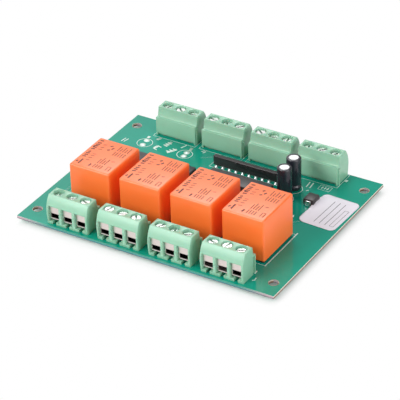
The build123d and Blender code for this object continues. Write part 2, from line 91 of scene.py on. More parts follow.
def add(tree, kind, inputs=None, **properties):
    """Adds a node, sets its properties, and sets or links its inputs."""
    node = tree.nodes.new(kind)
    for name, value in properties.items():
        setattr(node, name, value)
    for name, value in (inputs or {}).items():
        if isinstance(value, bpy.types.NodeSocket):
            tree.links.new(value, node.inputs[name])
        else:
            node.inputs[name].default_value = value
    return node


# The walls are white to the camera and to what mirrors them. In a mirror the rear wall dims towards
# the right, so the board shows its own green there and a pale sheen at its left.
GLOW = 0.42
REAR_WALL_LEFT = 1.3
REAR_WALL_RIGHT = 0.4
DIMS_FROM_X = -0.5
DIMS_TO_X = -0.4
REAR_FROM_Y = 0.2
REAR_TO_Y = 0.6
world = bpy.data.worlds.new("studio")
bpy.context.scene.world = world
world.use_nodes = True
tree = world.node_tree
tree.nodes.clear()
path = add(tree, "ShaderNodeLightPath").outputs
mirrored = add(tree, "ShaderNodeMath", {0: path["Is Glossy Ray"], 1: path["Is Transmission Ray"]},
               operation="MAXIMUM")
heading = add(tree, "ShaderNodeTexCoord").outputs["Generated"]
heading = add(tree, "ShaderNodeSeparateXYZ", {0: heading}).outputs
rear = add(tree, "ShaderNodeMapRange",
           {0: heading["X"], 1: DIMS_FROM_X, 2: DIMS_TO_X, 3: REAR_WALL_LEFT, 4: REAR_WALL_RIGHT})
wall = add(tree, "ShaderNodeMapRange",
           {0: heading["Y"], 1: REAR_FROM_Y, 2: REAR_TO_Y, 3: 1.0, 4: rear.outputs[0]})
level = add(tree, "ShaderNodeMix", {0: mirrored.outputs[0], 2: GLOW, 3: wall.outputs[0]})
level = add(tree, "ShaderNodeMix", {0: path["Is Camera Ray"], 2: level.outputs[0], 3: 1.0})
sky = add(tree, "ShaderNodeBackground", {"Color": (1, 1, 1, 1), "Strength": level.outputs[0]})
add(tree, "ShaderNodeOutputWorld", {"Surface": sky.outputs[0]})

# The table is white, and dims only in the object's soft shadow.
FLOOR_HALF = 2.0
SHADOW_REACH = 4 * MM
SHADOW_DEPTH = 1.3
bm = bmesh.new()
bmesh.ops.create_grid(bm, x_segments=1, y_segments=1, size=FLOOR_HALF)
floor_mesh = bpy.data.meshes.new("floor")
bm.to_mesh(floor_mesh)
bm.free()
floor = bpy.data.objects.new("floor", floor_mesh)
bpy.context.scene.collection.objects.link(floor)
table_top = bpy.data.materials.new("white_table")
table_top.use_nodes = True
tree = table_top.node_tree
tree.nodes.clear()
path = add(tree, "ShaderNodeLightPath").outputs
seen = add(tree, "ShaderNodeMath", {0: path["Is Camera Ray"], 1: path["Is Glossy Ray"]},
           operation="MAXIMUM")
open_floor = add(tree, "ShaderNodeAmbientOcclusion", {"Distance": SHADOW_REACH}).outputs["AO"]
open_floor = add(tree, "ShaderNodeMath", {0: open_floor, 1: SHADOW_DEPTH}, operation="POWER")
share = add(tree, "ShaderNodeMath", {0: seen.outputs[0], 1: open_floor.outputs[0]},
            operation="MULTIPLY")
matt = add(tree, "ShaderNodeBsdfDiffuse", {"Color": linear("#f4f4f2")})
bright = add(tree, "ShaderNodeEmission", {"Strength": 1.0})
both = add(tree, "ShaderNodeMixShader",
           {0: share.outputs[0], 1: matt.outputs[0], 2: bright.outputs[0]})
add(tree, "ShaderNodeOutputMaterial", {"Surface": both.outputs[0]})
floor_mesh.materials.append(table_top)

# Circuit board. A woven glass laminate of 1 mm with copper tracks, under a green solder mask.
# It is drilled for every lead and cut to size, so its edges show the pale weave.
BOARD_LOW, BOARD_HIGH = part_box("circuit_board")
TOP = BOARD_HIGH.z
UNDER = BOARD_LOW.z
CORNER = Vector((BOARD_LOW.x, BOARD_LOW.y, TOP))
MASK = "#0a9d88"
MASK_DEEP = "#078d74"
MASK_CLOUD = 14 * MM
COPPER_UNDER_MASK = "#10a490"
TRACK_WIDTH = 0.6 * MM
TRACK_HEIGHT = 0.035 * MM
WEAVE_PITCH = 4 * MM
WEAVE_DEPTH = 0.004 * MM
PLY_GRAIN = 0.5 * MM
# The first stop, a light line along the board's top edge, is a painted highlight; the rest are the
# plies.
HIGHLIGHT_AND_PLIES = ((0.0, "#63c2a9"), (0.22, "#1d7a6a"), (0.5, "#3fa79a"), (0.8, "#257383"), (1.0, "#3a5f78"))
CORNER_PLIES = ((0.0, "#e6dde0"), (0.25, "#a9939c"), (0.5, "#c9b4bb"), (0.8, "#8d7583"),
                (1.0, "#6b5866"))
END_PLIES = ((0.0, "#f2ede4"), (0.35, "#cbbfae"), (0.55, "#8c6246"), (0.85, "#6f4630"),
             (1.0, "#5a3a2a"))
WORN_PLY = "#6b6458"
WORN_SHARE = 0.3
CORNER_STARTS = 36 * MM
CORNER_ENDS = 46 * MM


def start(name, **inputs):
    """A new material with its main shader set, and the coordinates that patterns are put on."""
    made = bpy.data.materials.new(name)
    made.use_nodes = True
    tree = made.node_tree
    shader = tree.nodes["Principled BSDF"]
    for key, value in inputs.items():
        shader.inputs[key.replace("_", " ")].default_value = value
    place = add(tree, "ShaderNodeTexCoord").outputs["Object"]
    return made, tree, shader, place


def facing(tree, axis):
    """One where a face looks along an axis, either way, and nought elsewhere."""
    normal = add(tree, "ShaderNodeNewGeometry").outputs["Normal"]
    along = add(tree, "ShaderNodeSeparateXYZ", {0: normal}).outputs[axis]
    along = add(tree, "ShaderNodeMath", {0: along}, operation="ABSOLUTE").outputs[0]
    return add(tree, "ShaderNodeMath", {0: along, 1: 0.5}, operation="GREATER_THAN").outputs[0]


def laminate_side(tree, place):
    """The cut side: a painted highlight on the mask's lip at front and back, then glass plies, paler
    at corners.
    """
    at = add(tree, "ShaderNodeSeparateXYZ", {0: place}).outputs
    far = add(tree, "ShaderNodeMath", {0: at["X"]}, operation="ABSOLUTE").outputs[0]
    corner = add(tree, "ShaderNodeMapRange", {0: far, 1: CORNER_STARTS, 2: CORNER_ENDS}).outputs[0]
    depth = add(tree, "ShaderNodeMapRange", {0: at["Z"], 1: TOP, 2: UNDER}).outputs[0]
    colours = []
    for stops in (HIGHLIGHT_AND_PLIES, CORNER_PLIES, END_PLIES):
        plies = add(tree, "ShaderNodeValToRGB", {"Fac": depth})
        ramp = plies.color_ramp
        while len(ramp.elements) < len(stops):
            ramp.elements.new(0.5)
        for element, (spot, code) in zip(ramp.elements, stops):
            element.position = spot
            element.color = linear(code)
        colours.append(plies.outputs["Color"])
    front = add(tree, "ShaderNodeMix", {0: corner, 6: colours[0], 7: colours[1]}, data_type="RGBA")
    body = add(tree, "ShaderNodeMix",
               {0: facing(tree, "X"), 6: front.outputs[2], 7: colours[2]}, data_type="RGBA")
    grain = add(tree, "ShaderNodeTexNoise",
                {"Vector": place, "Scale": 1 / PLY_GRAIN, "Detail": 2.0}).outputs[0]
    worn = add(tree, "ShaderNodeMapRange", {0: grain, 3: 0.0, 4: WORN_SHARE}).outputs[0]
    side = add(tree, "ShaderNodeMix", {0: worn, 6: body.outputs[2], 7: linear(WORN_PLY)},
               data_type="RGBA")
    return side.outputs[2]


# Solder mask is a thin epoxy film, glossy and a little uneven. It is darker where no copper lies
# under it, and it covers the top and the underside but not the cut sides.
def solder_mask(name, high, low):
    made, tree, shader, place = start(name, Roughness=0.08, IOR=1.45)
    cloud = add(tree, "ShaderNodeTexNoise",
                {"Vector": place, "Scale": 1 / MASK_CLOUD, "Detail": 3.0})
    green = add(tree, "ShaderNodeMix", {0: cloud.outputs[0], 6: linear(low), 7: linear(high)},
                data_type="RGBA")
    weave = add(tree, "ShaderNodeTexWave",
                {"Vector": place, "Scale": 1 / WEAVE_PITCH, "Distortion": 0.6})
    colour = add(tree, "ShaderNodeMix",
                 {0: facing(tree, "Z"), 6: laminate_side(tree, place), 7: green.outputs[2]},
                 data_type="RGBA")
    tree.links.new(colour.outputs[2], shader.inputs["Base Color"])
    bump = add(tree, "ShaderNodeBump",
               {"Height": weave.outputs["Fac"], "Distance": WEAVE_DEPTH, "Strength": 0.25})
    tree.links.new(bump.outputs[0], shader.inputs["Normal"])
    return made


def cad_finish(node, material):
    """Gives a solid of the frame its finish, in place of the plain one that it came with."""
    mesh = frame["nodes"][node].data
    mesh.materials.clear()
    mesh.materials.append(material)


def shown(name, mesh, material):
    """Makes a mesh into a piece of the object, fixed to the board, with its finish."""
    mesh.materials.clear()
    mesh.materials.append(material)
    piece = bpy.data.objects.new(name, mesh)
    bpy.context.scene.collection.objects.link(piece)
    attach(piece, "root")
    return piece


def on_board(x, y, z=0.0):
    """A place measured in millimetres from the board's front left corner, in the frame."""
    return CORNER + Vector((x, y, z)) * MM


def drawn(name, paths, width, height, level, material):
    """Flat raised strokes along paths of points, such as tracks or print, as one piece."""
    data = bpy.data.curves.new(name, "CURVE")
    data.dimensions = "3D"
    data.bevel_depth = width / 2
    data.bevel_resolution = 1
    data.use_fill_caps = True
    for points, closed in paths:
        path = data.splines.new("POLY")
        path.points.add(len(points) - 1)
        path.use_cyclic_u = closed
        for spot, point in zip(path.points, points):
            spot.co = (point[0], point[1], 0, 1)
    thing = bpy.data.objects.new(name + "_line", data)
    bpy.context.scene.collection.objects.link(thing)
    mesh = bpy.data.meshes.new_from_object(thing)
    bpy.data.objects.remove(thing)
    flat = Matrix.Translation((0, 0, level)) @ Matrix.Diagonal((1, 1, height / width, 1))
    mesh.transform(flat)
    mesh.name = name
    return shown(name, mesh, material)


def line(*points):
    """An open path on the board, in millimetres from its corner."""
    return [on_board(*point).xy for point in points], False


cad_finish("circuit_board", solder_mask("green_solder_mask", MASK, MASK_DEEP))
MASKED_COPPER = solder_mask("masked_copper", COPPER_UNDER_MASK, MASK)
runs = []
for i in range(8):
    x = 15 + 9.3 * i
    y = 38 + i % 3
    runs.append(line((x, 35.6), (x, y), (x + 2.2, y + 2.2), (x + 2.2, 43.5)))
for i in range(4):
    x = 34 + 1.2 * i
    y = 62.6 + 0.9 * i
    runs.append(line((x, y - 3), (x + 3, y), (66 - i, y)))
for i in range(3):
    x = 5.5 + 1.6 * i
    runs.append(line((x, 14 + i), (x, 48 - i), (x + 2, 50 - i), (x + 2, 54)))
for side, level in (("top", TOP), ("under", UNDER)):
    drawn("tracks_" + side, runs, TRACK_WIDTH, TRACK_HEIGHT, level, MASKED_COPPER)


# Plated holes and solder. Every lead goes through a tinned ring, and a cone of solder wets it from
# below. The four mounting holes have bare tinned rings on both faces.
def bare_metal(name, colour, rough, grain, depth):
    """Bare metal is all reflection: a coloured mirror, blurred by the fine grain of its surface."""
    made, tree, shader, place = start(name, Metallic=1.0)
    noise = add(tree, "ShaderNodeTexNoise",
                {"Vector": place, "Scale": 1 / grain, "Detail": 2.0}).outputs[0]
    shade = [0.86 * c for c in linear(colour)[:3]] + [1.0]
    tint = add(tree, "ShaderNodeMix", {0: noise, 6: shade, 7: linear(colour)}, data_type="RGBA")
    tree.links.new(tint.outputs[2], shader.inputs["Base Color"])
    spread = add(tree, "ShaderNodeMapRange", {0: noise, 3: rough * 0.75, 4: rough * 1.25})
    tree.links.new(spread.outputs[0], shader.inputs["Roughness"])
    bump = add(tree, "ShaderNodeBump", {"Height": noise, "Distance": depth, "Strength": 0.5})
    tree.links.new(bump.outputs[0], shader.inputs["Normal"])
    return made


BRIGHT_SOLDER = bare_metal("bright_solder", "#dfe2e4", 0.22, 0.7 * MM, 0.02 * MM)
TINNED_COPPER = bare_metal("tinned_copper", "#978f80", 0.45, 0.5 * MM, 0.01 * MM)
HOLES = next(m["dims"] for m in frame["record"]["mounts"] if m["name"] == "mounting_holes")
HOLE_RADIUS = HOLES["hole_r_mm"] * MM
HOLE_RING = HOLE_RADIUS + 0.14 * MM
RING_THICK = 0.035 * MM
TIP_REACH = 0.9 * MM
WELD = 0.002 * MM
# How far apart a node's thick or thin leads are at least, and how wide the solder round one is.
THICK_LEADS = (1.25 * MM, 0.95 * MM)
THIN_LEADS = (0.75 * MM, 0.55 * MM)


def merged(mesh, bm):
    """Writes a finished bmesh out with its faces turned outwards."""
    bmesh.ops.recalc_face_normals(bm, faces=bm.faces)
    bm.to_mesh(mesh)
    bm.free()
    return mesh


def smoothed(mesh, angle=40):
    """Shades round faces smooth and keeps sharp edges sharp."""
    mesh.shade_smooth()
    mesh.set_sharp_from_angle(angle=math.radians(angle))
    return mesh


def turned(outline, centre, steps=24):
    """A solid of revolution about an upright axis, from points of radius and height in metres."""
    part = bmesh.new()
    spots = [part.verts.new((max(r, 0.0), 0, z)) for r, z in outline]
    edges = [part.edges.new(pair) for pair in zip(spots, spots[1:])]
    bmesh.ops.spin(part, geom=spots + edges, cent=(0, 0, 0), axis=(0, 0, 1), angle=2 * math.pi,
                   steps=steps, use_merge=True)
    bmesh.ops.remove_doubles(part, verts=part.verts, dist=WELD)
    bmesh.ops.translate(part, verts=part.verts, vec=centre)
    return part


def flat_ring(inner, outer, out, centre, steps):
    """A flat ring of plating on one face of the board; out is 1 on the top and -1 below."""
    edge = [(inner, 0), (outer, 0), (outer, out * RING_THICK), (inner, out * RING_THICK),
            (inner, 0)]
    return turned(edge, centre, steps)


def joined(parts):
    """Several bmeshes as one."""
    whole = bmesh.new()
    for part in parts:
        mesh = bpy.data.meshes.new("part")
        part.to_mesh(mesh)
        part.free()
        whole.from_mesh(mesh)
        bpy.data.meshes.remove(mesh)
    return whole


def lead_tips(node, apart):
    """Where a node's leads come out under the board: the middle of each group of tip corners."""
    tips = [v.co for v in frame["nodes"][node].data.vertices if v.co.z < UNDER - TIP_REACH]
    groups = []
    for tip in tips:
        near = [g for g in groups if (g[0].xy - tip.xy).length < apart]
        if near:
            near[0].append(tip)
        else:
            groups.append([tip])
    return [sum((t for t in g), Vector()) / len(g) for g in groups]


LEAD_NODES = {name: THICK_LEADS for name in frame["nodes"] if name.endswith("_contacts")}
LEAD_NODES.update({f"relay_{i}_pins": THICK_LEADS for i in range(1, 5)})
for name in ("processor_leads", "driver_leads", "resistor_network_pins", "rear_capacitor_leads",
             "front_capacitor_leads", "crystal_leads", "regulator_leads"):
    LEAD_NODES[name] = THIN_LEADS
joints_below = []
rings = []
for name, (apart, wide) in sorted(LEAD_NODES.items()):
    for tip in lead_tips(name, apart):
        reach = UNDER - tip.z
        outline = [(0, -0.7 * reach), (0.35 * wide, -0.66 * reach), (0.45 * wide, -0.35 * reach),
                   (0.72 * wide, -0.12 * reach), (wide, -0.02 * MM), (wide, 0), (0, 0)]
        joints_below.append(turned(outline, (tip.x, tip.y, UNDER), 16))
        for level, out in ((UNDER, -1), (TOP, 1)):
            rings.append(flat_ring(0.62 * wide, 1.18 * wide, out, (tip.x, tip.y, level), 16))
mesh = merged(bpy.data.meshes.new("solder_joints"), joined(joints_below))
shown("solder_joints", smoothed(mesh), BRIGHT_SOLDER)
for x in (-1, 1):
    for y in (-1, 1):
        for level, out in ((UNDER, -1), (TOP, 1)):
            place = (x * HOLES["spacing_x_mm"] / 2 * MM, y * HOLES["spacing_y_mm"] / 2 * MM, level)
            rings.append(flat_ring(HOLE_RADIUS, HOLE_RING, out, place, 40))
mesh = merged(bpy.data.meshes.new("plated_rings"), joined(rings))
shown("plated_rings", mesh, TINNED_COPPER)

# Terminal housings. Pale green polyamide, moulded in one piece with a wire entry and a screw well
# for each pole. The mould leaves soft edges and a satin face that lets a little light in.
GREEN = "#91c1a7"
GREEN_SHADE = "#87ba9d"
FLOW_MARKS = 6 * MM
LIGHT_REACH = 0.6 * MM
GRAIN_DEPTH = 0.01 * MM
MOULDED_EDGE = 0.12 * MM
# The back of the solids is drawn in by these sizes, to the steep face and thin ledge of the real
# one: depths are from the wire side, heights are above the board.
HOUSING_TALL = 10.3 * MM
SLOPE_START = 6.2 * MM
SLOPE_OUT = 2.26 * MM
STEEP_OUT = 1.0 * MM
SLOPE_HOLLOW = 1.12
LEDGE_HEIGHT = 7.35 * MM
LEDGE_UNDER = 6.95 * MM
LEDGE_DROP = 0.45 * MM
GROOVE_DEPTH = 8.2 * MM
BACK_DRAWN_IN = 0.56 * MM
CLEAR = 0.1 * MM


def moulded(name, high, low, rough, grain=0.35 * MM, index=1.5, inside=0.0):
    """Moulded plastic: even colour with faint flow marks, and the fine grain of the mould's face."""
    made, tree, shader, place = start(name, IOR=index, Subsurface_Weight=inside,
                                      Subsurface_Scale=LIGHT_REACH)
    flow = add(tree, "ShaderNodeTexNoise",
               {"Vector": place, "Scale": 1 / FLOW_MARKS, "Detail": 2.0}).outputs[0]
    tint = add(tree, "ShaderNodeMix", {0: flow, 6: linear(low), 7: linear(high)},
               data_type="RGBA")
    tree.links.new(tint.outputs[2], shader.inputs["Base Color"])
    fine = add(tree, "ShaderNodeTexNoise", {"Vector": place, "Scale": 1 / grain, "Detail": 1.0})
    spread = add(tree, "ShaderNodeMapRange", {0: flow, 3: rough * 0.85, 4: rough * 1.15})
    tree.links.new(spread.outputs[0], shader.inputs["Roughness"])
    bump = add(tree, "ShaderNodeBump",
               {"Height": fine.outputs[0], "Distance": GRAIN_DEPTH, "Strength": 0.35})
    tree.links.new(bump.outputs[0], shader.inputs["Normal"])
    return made


def rounded(part, edges, width, segments):
    """Rounds some edges of a bmesh."""
    bmesh.ops.bevel(part, geom=edges, offset=width, offset_type="OFFSET", affect="EDGES",
                    segments=segments, profile=0.5, material=-1, clamp_overlap=True)


def steepen(part, way):
    """Draws a housing's back in; way is 1 where the back looks along +Y, and else -1."""
    front = min(way * v.co.y for v in part.verts)
    for v in part.verts:
        deep = way * v.co.y - front
        high = v.co.z - TOP
        if high < LEDGE_HEIGHT - CLEAR:
            deep -= BACK_DRAWN_IN if deep > GROOVE_DEPTH else 0
            high -= LEDGE_DROP if high >= LEDGE_UNDER else 0
        elif deep > SLOPE_START:
            if deep > SLOPE_START + SLOPE_OUT + CLEAR:
                deep -= BACK_DRAWN_IN
            else:
                out = ((deep - SLOPE_START) / SLOPE_OUT) ** SLOPE_HOLLOW
                deep = SLOPE_START + STEEP_OUT * out
            drop = 1 + LEDGE_DROP / (HOUSING_TALL - LEDGE_HEIGHT)
            high = HOUSING_TALL - (HOUSING_TALL - high) * drop
        v.co.y = way * (front + deep)
        v.co.z = TOP + high


def softened(node, material, width, back=0):
    """A copy of a solid with its sharp edges rounded, which stands for it."""
    part = bmesh.new()
    part.from_mesh(frame["nodes"][node].data)
    if back:
        steepen(part, back)
    bmesh.ops.remove_doubles(part, verts=part.verts, dist=WELD)
    bmesh.ops.dissolve_limit(part, angle_limit=math.radians(2), verts=part.verts, edges=part.edges)
    sharp = [e for e in part.edges
             if len(e.link_faces) == 2 and e.calc_face_angle(0) > math.radians(35)]
    rounded(part, sharp, width, 2)
    mesh = bpy.data.meshes.new(node + "_shown")
    part.to_mesh(mesh)
    part.free()
    piece = shown(node + "_shown", smoothed(mesh, 50), material)
    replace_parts(piece, node)


POLYAMIDE = moulded("green_polyamide", GREEN, GREEN_SHADE, 0.38, index=1.58, inside=0.12)
for i in range(1, 9):
    back = 1 if i <= 4 else -1
    softened(f"terminal_{i}_housing", POLYAMIDE, MOULDED_EDGE, back)

# Wire clamps, contact bars and clamp screws. Plated steel cages hold the wires, the bars carry the
# current to the board, and bright slotted screws close the cages from above.
NICKEL = bare_metal("nickel_plate", "#e9ddd8", 0.32, 0.6 * MM, 0.012 * MM)
TIN = bare_metal("tin_plate", "#d9dcdc", 0.25, 0.4 * MM, 0.01 * MM)
ZINC = bare_metal("bright_zinc", "#eef0ee", 0.24, 0.5 * MM, 0.008 * MM)
POLES = 3
POLE_PITCH = 5.08 * MM
CAGE_DROP = 0.75 * MM
CAGE_WALL = 0.35 * MM
CAGE_FRONT = 0.55 * MM
CAGE_BEND = 0.25 * MM
WINDOW_BELOW_TOP = 2.95 * MM
INSIDE_BELOW_TOP = 2.3 * MM
REAR_SCREWS_OUT = 0.6 * MM


def wire_cage(x, half, front, back, low, high):
    """A bent steel box, open from front to back, with a lower window for the wire in front."""
    cage = bmesh.new()
    inner = half - CAGE_WALL
    floor = low + CAGE_WALL
    window = high - WINDOW_BELOW_TOP
    inside = high - INSIDE_BELOW_TOP
    step = front + math.copysign(CAGE_FRONT, back - front)
    loops = []
    for y, reach, bottom, top in ((front, half, low, high), (front, inner, floor, window),
                                  (step, inner, floor, window), (step, inner, floor, inside),
                                  (back, inner, floor, inside), (back, half, low, high)):
        spots = [cage.verts.new((x + i * reach, y, z))
                 for i, z in ((-1, bottom), (1, bottom), (1, top), (-1, top))]
        loops.append([cage.edges.new(pair) for pair in zip(spots, spots[1:] + spots[:1])])
    for first, second in zip(loops, loops[1:] + loops[:1]):
        bmesh.ops.bridge_loops(cage, edges=first + second)
    bends = [e for e in cage.edges
             if abs(e.verts[0].co.y - e.verts[1].co.y) > abs(back - front) - CAGE_BEND
             and all(abs(v.co.x - x) > half - CAGE_BEND for v in e.verts)]
    rounded(cage, bends, CAGE_BEND, 3)
    return cage


for i in range(1, 9):
    low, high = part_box(f"terminal_{i}_wire_clamps")
    half = (high.x - low.x - (POLES - 1) * POLE_PITCH) / 2
    ends = (low.y, high.y) if i <= 4 else (high.y, low.y)
    cages = [wire_cage(low.x + half + k * POLE_PITCH, half, *ends, low.z - CAGE_DROP, high.z)
             for k in range(POLES)]
    mesh = merged(bpy.data.meshes.new(f"terminal_{i}_wire_cages"), joined(cages))
    piece = shown(f"terminal_{i}_wire_cages", smoothed(mesh), NICKEL)
    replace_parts(piece, f"terminal_{i}_wire_clamps")
    cad_finish(f"terminal_{i}_contacts", TIN)
cad_finish("front_clamp_screws", ZINC)
mesh = frame["nodes"]["rear_clamp_screws"].data.copy()
mesh.transform(Matrix.Translation((0, 0, REAR_SCREWS_OUT)))
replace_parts(shown("rear_screws_shown", mesh, ZINC), "rear_clamp_screws")

# Relays. Orange polyester cases with rounded edges, printed in a darker tone on top. Each is closed
# from below by a base whose dark colour is painted shade in the gap under the case. The print here
# is plain strokes that say nothing.
ORANGE = "#ff772b"
ORANGE_SHADE = "#fc6d24"
INK = "#5f2410"
FINE_INK = "#94441f"
CASE_EDGE = 0.6 * MM
CASE_LIFT = 0.3 * MM
INK_HEIGHT = 0.02 * MM
BOLD_STROKE = 0.62 * MM
FINE_STROKE = 0.36 * MM
ORANGE_CASE = moulded("orange_polyester", ORANGE, ORANGE_SHADE, 0.38, grain=0.25 * MM, index=1.72,
                      inside=0.1)
# The base is coloured dark as painted shade: with the case lifted, it shows as the shadow in the gap
# under the case.
BASE_IN_PAINTED_SHADE = moulded("base_painted_shade", "#2a2320", "#201b19", 0.5)
BOLD_PRINT = moulded("bold_pad_print", INK, INK, 0.5)
FINE_PRINT = moulded("fine_pad_print", FINE_INK, FINE_INK, 0.5)

# Bold strokes: an angle, a column of ticks and a broken square. Fine ones: a column of ticks and
# rows of lines along the case. Millimetres from the case's front left corner.
BOLD_MARKS = [[(2.5, 1.7), (2.5, 4.6)], [(1.1, 2.4), (1.5, 3.3)]]
BOLD_MARKS += [[(1.2, y), (2.5, y + 0.3)]
               for y in (6.2, 7.3, 8.4, 11.4, 12.5, 13.5, 14.5, 15.5, 17.0)]
BOLD_MARKS += [[(1.4, 9.4), (2.2, 9.9)], [(1.2, 12.6), (1.2, 13.4)], [(6.4, 12.9), (7.2, 13.4)],
               [(7.5, 13.9), (7.9, 15.0)], [(6.2, 15.3), (6.9, 16.0)], [(6.3, 1.8), (6.5, 3.3)]]
FINE_MARKS = [[(3.5, y), (4.7, y + 0.4)] for y in (4.6, 6.2, 7.6, 8.7, 12.1, 13.4, 15.2)]
for k in range(5):
    x = 9.6 + 0.95 * k
    FINE_MARKS += [[(x, 10.9), (x, 13.4)], [(x, 14.0), (x, 17.2 - k % 2)]]
for k in range(4):
    x = 7.9 + 0.9 * k
    FINE_MARKS += [[(x, 1.8), (x, 3.9)], [(x, 4.6), (x, 7.3 + k % 2)]]
FINE_MARKS += [[(12.6, 1.8), (12.6, 4.3), (13.7, 4.3), (13.7, 1.8)], [(11.7, 7.4), (12.7, 7.8)]]


def block(size, middle):
    """A plain block as a bmesh."""
    part = bmesh.new()
    bmesh.ops.create_cube(part, size=1.0)
    bmesh.ops.scale(part, verts=part.verts, vec=size)
    bmesh.ops.translate(part, verts=part.verts, vec=middle)
    return part


def placed(marks, corner):
    """Strokes in millimetres from a case's corner, as open paths in the frame."""
    return [([(corner.x + x * MM, corner.y + y * MM) for x, y in points], False)
            for points in marks]


for i in range(1, 5):
    low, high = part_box(f"relay_{i}_case")
    low.z += CASE_LIFT
    high.z -= INK_HEIGHT
    case = block(high - low, (low + high) / 2)
    all_but_foot = [e for e in case.edges if max(v.co.z for v in e.verts) > low.z + CLEAR]
    rounded(case, all_but_foot, CASE_EDGE, 5)
    mesh = merged(bpy.data.meshes.new(f"relay_{i}_cover"), case)
    piece = shown(f"relay_{i}_cover", smoothed(mesh, 30), ORANGE_CASE)
    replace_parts(piece, f"relay_{i}_case")
    cad_finish(f"relay_{i}_base", BASE_IN_PAINTED_SHADE)
    cad_finish(f"relay_{i}_pins", TIN)
    drawn(f"relay_{i}_bold_marks", placed(BOLD_MARKS, low), BOLD_STROKE, INK_HEIGHT, high.z,
          BOLD_PRINT)
    drawn(f"relay_{i}_fine_marks", placed(FINE_MARKS, low), FINE_STROKE, INK_HEIGHT, high.z,
          FINE_PRINT)

# Chips, regulator, resistor network and diode. Bodies of black epoxy, moulded round tinned leads.
# Their matt faces turn grey where they mirror the light, and the network's is glossier.
EPOXY = moulded("black_epoxy", "#322c2e", "#2a2527", 0.42, grain=0.18 * MM)
GLOSS_EPOXY = moulded("glossy_epoxy", "#2a2427", "#221d20", 0.17, grain=0.5 * MM)
CHIP_EDGE = 0.05 * MM
NETWORK_EDGE = 0.28 * MM
PLATE_EDGE = 0.12 * MM
PLATE_TALL = 1.95 * MM
PLATE_THICK = 0.4 * MM
for name in ("processor_body", "driver_body", "diode_body", "regulator_body"):
    softened(name, EPOXY, CHIP_EDGE)
softened("resistor_network_body", GLOSS_EPOXY, NETWORK_EDGE)
for name in ("processor_leads", "driver_leads", "resistor_network_pins", "regulator_leads"):
    cad_finish(name, TIN)
low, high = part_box("diode_leads")
plates = []
for y in (low.y + PLATE_THICK / 2, high.y - PLATE_THICK / 2):
    plate = block((high.x - low.x, PLATE_THICK, PLATE_TALL),
                  ((low.x + high.x) / 2, y, low.z + PLATE_TALL / 2))
    rounded(plate, plate.edges, PLATE_EDGE, 2)
    plates.append(plate)
mesh = merged(bpy.data.meshes.new("diode_plates"), joined(plates))
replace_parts(shown("diode_plates", smoothed(mesh), TIN), "diode_leads")
BEAD = [(0, 0.5 * MM), (0.18 * MM, 0.45 * MM), (0.32 * MM, 0.22 * MM), (0.6 * MM, 0.05 * MM),
        (0.62 * MM, 0), (0, 0)]
beads = [turned(BEAD, (tip.x, tip.y, TOP), 16)
         for name in ("resistor_network_pins", "processor_leads", "driver_leads")
         for tip in lead_tips(name, THIN_LEADS[0])]
mesh = merged(bpy.data.meshes.new("solder_beads"), joined(beads))
shown("solder_beads", smoothed(mesh), BRIGHT_SOLDER)

# Capacitors. Drawn aluminium cans in a shrunk film sleeve, which laps over the rim and leaves the
# top bare. The can is crimped near its foot, and the film follows the groove.
CAN = bare_metal("drawn_aluminium", "#eceef0", 0.3, 4.0 * MM, 0.001 * MM)
FILM = moulded("shrunk_film", "#24262f", "#1b1d25", 0.22, grain=1.2 * MM, index=1.55)
for end in ("rear", "front"):
    low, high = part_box(f"{end}_capacitor_sleeve")
    middle = (low + high) / 2
    radius = (high.x - low.x) / 2
    tall = high.z - low.z
    outline = [(radius - 0.75 * MM, 0), (radius - 0.45 * MM, 0), (radius - 0.15 * MM, 0.15 * MM),
               (radius, 0.5 * MM), (radius, 1.5 * MM), (radius - 0.18 * MM, 1.72 * MM),
               (radius - 0.3 * MM, 1.9 * MM), (radius - 0.18 * MM, 2.08 * MM), (radius, 2.3 * MM),
               (radius, tall - 0.45 * MM), (radius - 0.04 * MM, tall - 0.25 * MM),
               (radius - 0.16 * MM, tall - 0.08 * MM), (radius - 0.35 * MM, tall),
               (radius - 0.85 * MM, tall), (radius - 0.85 * MM, tall - 0.12 * MM)]
    sleeve = turned(outline, (middle.x, middle.y, low.z), 64)
    mesh = merged(bpy.data.meshes.new(f"{end}_capacitor_film"), sleeve)
    piece = shown(f"{end}_capacitor_film", smoothed(mesh, 60), FILM)
    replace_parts(piece, f"{end}_capacitor_sleeve")
    cad_finish(f"{end}_capacitor_can", CAN)
    cad_finish(f"{end}_capacitor_leads", TIN)

# Crystal. A bright drawn can on two leads, behind the relays.
cad_finish("crystal_can", CAN)
cad_finish("crystal_leads", TIN)

# Label. A paper sticker with rounded corners, put on a little askew. Its left edge rides up on the
# side of the diode. Its print here is plain ruled lines and an empty box.
PAPER = moulded("coated_paper", "#e4dfe8", "#ddd8e1", 0.35, grain=0.9 * MM)
PRINT_GREY = moulded("grey_ink", "#4d4b52", "#4d4b52", 0.5)
LABEL_LIFT = 1.15 * MM
CORNER_LIFT = 0.3
LIFT_REACH = 3.6 * MM
LIFT_SPREAD = 6.5 * MM
LABEL_THICK = 0.1 * MM
LABEL_GAP = 0.04 * MM
LABEL_RADIUS = 2.0 * MM
LABEL_TURN = Matrix.Rotation(math.radians(-2.4), 2)
LABEL_WIDER = Vector((0.45, 0.2)) * MM
LABEL_MOVED = Vector((0.5 * MM, 0.1 * MM))
RULE_WIDTH = 0.22 * MM
low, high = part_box("label")
half = Vector((high.x - low.x, high.y - low.y)) / 2 + LABEL_WIDER
label_at = ((low + high) / 2).xy - LABEL_MOVED
diode_low, diode_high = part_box("diode_body")
diode_side = (diode_low.y + diode_high.y) / 2 - label_at.y


def on_label(u, v):
    """A place on the board, from one in the label's own directions and from its centre."""
    return label_at + LABEL_TURN @ Vector((u, v))


def label_height(u, v):
    """How far the sticker stands off the board: it bends up to the diode along its left edge."""
    across = max(0.0, 1 - (u + half.x) / LIFT_REACH)
    along = max(CORNER_LIFT, 1 - abs(v - diode_side) / LIFT_SPREAD)
    return LABEL_LIFT * across ** 2 * along + LABEL_GAP


